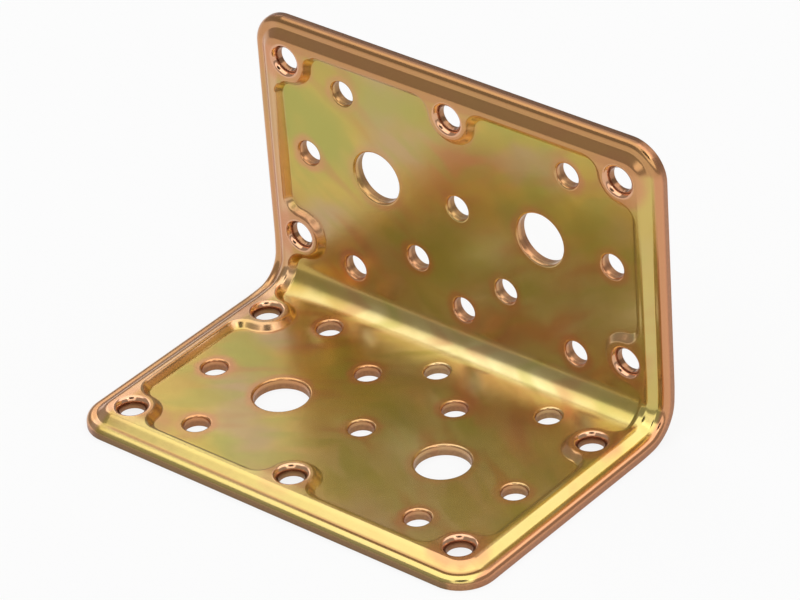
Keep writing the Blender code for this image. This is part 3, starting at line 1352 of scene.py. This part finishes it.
        # Russet over the upper rim, and painted shade in brown along the upper edge.
        for upper_band in (self.upper_rim, self.upper_edge_shade):
            colour = film.laid(upper_band.share(film.from_top, thick), colour, upper_band.tint)
        return colour

    def _walls(self, film: FilmField, colour: Socket, torn: Amount) -> Socket:
        """Lays the tint of the sheared walls: salmon, and streaked where torn.

        Brown on the walls of the sheet's two ends and in the screw throats is painted shade, and blush over
        the countersinks is a painted highlight.

        Args:
            film: the blank as the finish sees it.
            colour: the colour under it.
            torn: 1 where a wall is torn.

        Returns:
            The colour.
        """
        # Painted highlight: blush over the countersinks.
        cone = film.from_screw.fade(*self.cone_limits) * film.height.fade(*self.cone_heights)
        colour = film.laid(cone * self.cone_highlight_strength, colour, Tint.BLUSH)
        # Painted shade: brown on the walls of the sheet's two ends.
        shaded_ends = film.from_front.least(film.from_top).fade(*self.end_limits)
        throat = film.from_screw.fade(*self.throat_limits)
        wall = film.laid(shaded_ends, Tint.SALMON, Tint.RUST)
        # Painted shade: brown in the screw throats.
        wall = film.laid(throat * self.throat_shade, wall, Tint.RUST)
        share = film.from_hole.fade(*self.bore_limits).between(*self.wall_strengths)
        share = share + throat * self.throat_strength
        colour = film.laid(film.wall * share, colour, wall)
        streaks = film.noise(self.tear_streaks).between(*self.tear_strengths)
        return film.laid(torn * streaks, colour, Tint.RUST)

    def _roughness(self, film: FilmField, torn: Amount) -> Amount:
        """How rough the metal is: least in the countersinks, more on the rim, the panel and the torn walls.

        Args:
            film: the blank as the finish sees it.
            torn: 1 where a wall is torn.

        Returns:
            The roughness.
        """
        rough = film.from_edge.fade(*self.rim_limits).between(self.roughness, self.rim_roughness)
        cone = film.from_hole.fade(*self.polished_limits) * film.height.fade(*self.polished_heights)
        clouds = film.noise(self.clouds).between(-self.cloud_roughness, self.cloud_roughness)
        rough = rough + cone * (self.cone_roughness - self.rim_roughness) + clouds
        return rough + torn * (self.torn_roughness - self.roughness)

    def material(self, blank: PressedBlank) -> bpy.types.Material:
        """Makes the finish.

        Args:
            blank: the plate's sizes, for the places that the film gathers at.

        Returns:
            The material.
        """
        material = bpy.data.materials.new(self.name)
        material.use_nodes = True
        tree = material.node_tree
        shader = tree.nodes["Principled BSDF"]
        shader.inputs["Metallic"].default_value = self.metallic
        shader.inputs["Coat Weight"].default_value = self.sheen_coat
        film = FilmField(tree, blank)
        torn = film.wall * film.height.fade(*self.torn_heights)
        colour = self._patched(film, blank, self._drifted(film))
        colour = self._walls(film, self._gathered_film_and_painted_light(film, colour), torn)
        rough = self._roughness(film, torn).socket
        relief = film.noise(self.waves) * self.wave + film.noise(self.grains) * self.grain
        relief = relief + torn * film.noise(self.tears) * self.tear
        bump = add_node(tree, "ShaderNodeBump", {"Height": relief, "Distance": MM, "Strength": 1.0})
        sources = {"Base Color": colour, "Roughness": rough, "Coat Roughness": rough}
        sources |= {"Normal": bump.outputs["Normal"], "Coat Normal": bump.outputs["Normal"]}
        for name, source in sources.items():
            tree.links.new(source, shader.inputs[name])
        return material


@dataclass(frozen=True)
class SoftBox:
    """One soft light.

    Attributes:
        name: its name.
        place: where its middle is.
        size: its width and height.
        radiance: how bright its face is, where 1 is white.
        aim: the point that it faces.
    """

    name: str
    place: Triple
    size: Point
    radiance: float
    aim: Triple

    def hang(self) -> bpy.types.Object:
        """Hangs the light.

        Returns:
            The light.
        """
        data = bpy.data.lights.new(self.name, "AREA")
        data.shape = "RECTANGLE"
        data.size, data.size_y = self.size
        data.energy = self.radiance * math.pi * self.size[0] * self.size[1]
        light = bpy.data.objects.new(self.name, data)
        light.location = self.place
        light.rotation_euler = (Vector(self.aim) - Vector(self.place)).to_track_quat("-Z", "Y").to_euler()
        bpy.context.scene.collection.objects.link(light)
        return light


@dataclass(frozen=True)
class Studio:
    """The pale floor, the soft lights, the card round the lens and the camera.

    Attributes:
        camera_place: where the camera stands.
        camera_turn: its turn, in degrees.
        camera_lens: its focal length, in millimetres.
        camera_sensor: its sensor's width, in millimetres.
        camera_clip: the nearest distance that it shows.
        room: how bright the room is, where 1 is white.
        floor_radius: the floor's radius.
        floor_tint: the colour of its paper.
        floor_seen: how much of the floor the camera sees as plain white. The rest shows the plate's shadow.
        floor_mirrored: how much of it the plate mirrors as plain white.
        card_place: where the card's middle is.
        card_radius: its radius.
        card_tint: its colour.
        card_roughness: its roughness.
        round_sides: how many sides a round outline has.
        lights: the soft lights.
    """

    camera_place: Triple = (0.492773, -0.547003, 0.508857)
    camera_turn: Triple = (56.88162, 3.57444, 39.10641)
    camera_lens: float = 206.111
    camera_sensor: float = 36.0
    camera_clip: float = 0.01
    room: float = 0.34
    floor_radius: float = 4.0
    floor_tint: str = "#E6E6E6"
    floor_seen: float = 0.85
    floor_mirrored: float = 0.25
    card_place: Triple = (0.40, -0.52, 0.76)
    card_radius: float = 0.27
    card_tint: str = "#101010"
    card_roughness: float = 0.9
    round_sides: int = 96
    lights: tuple[SoftBox, ...] = (
        SoftBox("ceiling_softbox", (0.1, -0.075, 1.2), (2.2, 1.85), 1.35, (0.1, -0.075, 0.0)),
        SoftBox("back_right_softbox", (0.7, 1.175, 1.2), (1.0, 0.65), 1.3, (0.7, 1.175, 0.0)),
        SoftBox("front_softbox", (0.8, -0.95, 0.95), (1.6, 1.3), 1.0, (0.0, 0.0, 0.02)),
        SoftBox("back_left_softbox", (-1.215, 0.65, 0.9), (0.7, 0.7), 1.4, (-1.215, 0.65, 0.0)),
    )

    def camera(self) -> bpy.types.Object:
        """Sets the camera where the photograph was taken from.

        Returns:
            The camera.
        """
        data = bpy.data.cameras.new("camera")
        data.lens = self.camera_lens
        data.sensor_width = self.camera_sensor
        data.clip_start = self.camera_clip
        camera = bpy.data.objects.new("camera", data)
        camera.location = self.camera_place
        camera.rotation_euler = [math.radians(a) for a in self.camera_turn]
        bpy.context.scene.collection.objects.link(camera)
        bpy.context.scene.camera = camera
        return camera

    def _disc(self, name: str, radius: float) -> bpy.types.Object:
        """Makes a flat round disc.

        Args:
            name: its name.
            radius: its radius.

        Returns:
            The disc, flat at the origin.
        """
        mesh = bmesh.new()
        bmesh.ops.create_circle(mesh, cap_ends=True, segments=self.round_sides, radius=radius)
        return add_object(name, mesh)

    def floor(self) -> bpy.types.Object:
        """Lays a plain pale floor of matt paper, which keeps the plate's shadow and is white to the camera.

        Returns:
            The floor.
        """
        floor = self._disc("floor", self.floor_radius)
        material = bpy.data.materials.new("matt_white_paper")
        material.use_nodes = True
        tree = material.node_tree
        tree.nodes.clear()
        paper = add_node(tree, "ShaderNodeBsdfDiffuse", {"Color": linear(self.floor_tint)})
        white = add_node(tree, "ShaderNodeEmission", {"Strength": 1.0})
        path = add_node(tree, "ShaderNodeLightPath").outputs
        seen = Amount(tree, path["Is Camera Ray"]) * self.floor_seen
        mirrored = Amount(tree, path["Is Glossy Ray"]) * self.floor_mirrored
        links = {0: seen.most(mirrored), 1: paper.outputs[0], 2: white.outputs[0]}
        mix = add_node(tree, "ShaderNodeMixShader", links)
        add_node(tree, "ShaderNodeOutputMaterial", {"Surface": mix.outputs[0]})
        floor.data.materials.append(material)
        return floor

    def card(self) -> bpy.types.Object:
        """Stands a black card round the lens, which the plate mirrors as dark spots in its curved faces.

        Returns:
            The card.
        """
        card = self._disc("lens_card", self.card_radius)
        place = Vector(self.card_place)
        turn = place.to_track_quat("Z", "Y").to_matrix().to_4x4()
        turn.translation = place
        card.data.transform(turn)
        card.visible_camera = False
        material = bpy.data.materials.new("black_flocked_card")
        material.use_nodes = True
        shader = material.node_tree.nodes["Principled BSDF"]
        shader.inputs["Base Color"].default_value = linear(self.card_tint)
        shader.inputs["Roughness"].default_value = self.card_roughness
        card.data.materials.append(material)
        return card

    def world(self) -> None:
        """Fills the room with even light, and shows white to the camera."""
        world = bpy.data.worlds.new("studio")
        bpy.context.scene.world = world
        world.use_nodes = True
        tree = world.node_tree
        tree.nodes.clear()
        white = linear("#FFFFFF")
        room = add_node(tree, "ShaderNodeBackground", {"Color": white, "Strength": self.room})
        backdrop = add_node(tree, "ShaderNodeBackground", {"Color": white, "Strength": 1.0})
        seen = add_node(tree, "ShaderNodeLightPath").outputs["Is Camera Ray"]
        links = {0: seen, 1: room.outputs[0], 2: backdrop.outputs[0]}
        mix = add_node(tree, "ShaderNodeMixShader", links)
        add_node(tree, "ShaderNodeOutputWorld", {"Surface": mix.outputs[0]})

    def build(self) -> None:
        """Sets up the camera, the floor, the card, the room and the lights."""
        self.camera()
        self.floor()
        self.card()
        self.world()
        for light in self.lights:
            light.hang()
        bpy.context.scene.view_settings.view_transform = "Standard"


def main() -> None:
    """Builds the studio and the plate."""
    logging.basicConfig(level=logging.INFO, format="%(name)s: %(message)s")
    studio = Studio()
    studio.build()
    LOG.info("studio: camera, floor, lens card and %d lights", len(studio.lights))
    plate_maker = CornerPlate()
    finish = YellowChromate().material(plate_maker.blank)
    plate = plate_maker.build(finish)
    plate_maker.dress(plate)
    LOG.info("pressed plate: %d faces", len(plate.data.polygons))


if __name__ == "__main__":
    main()
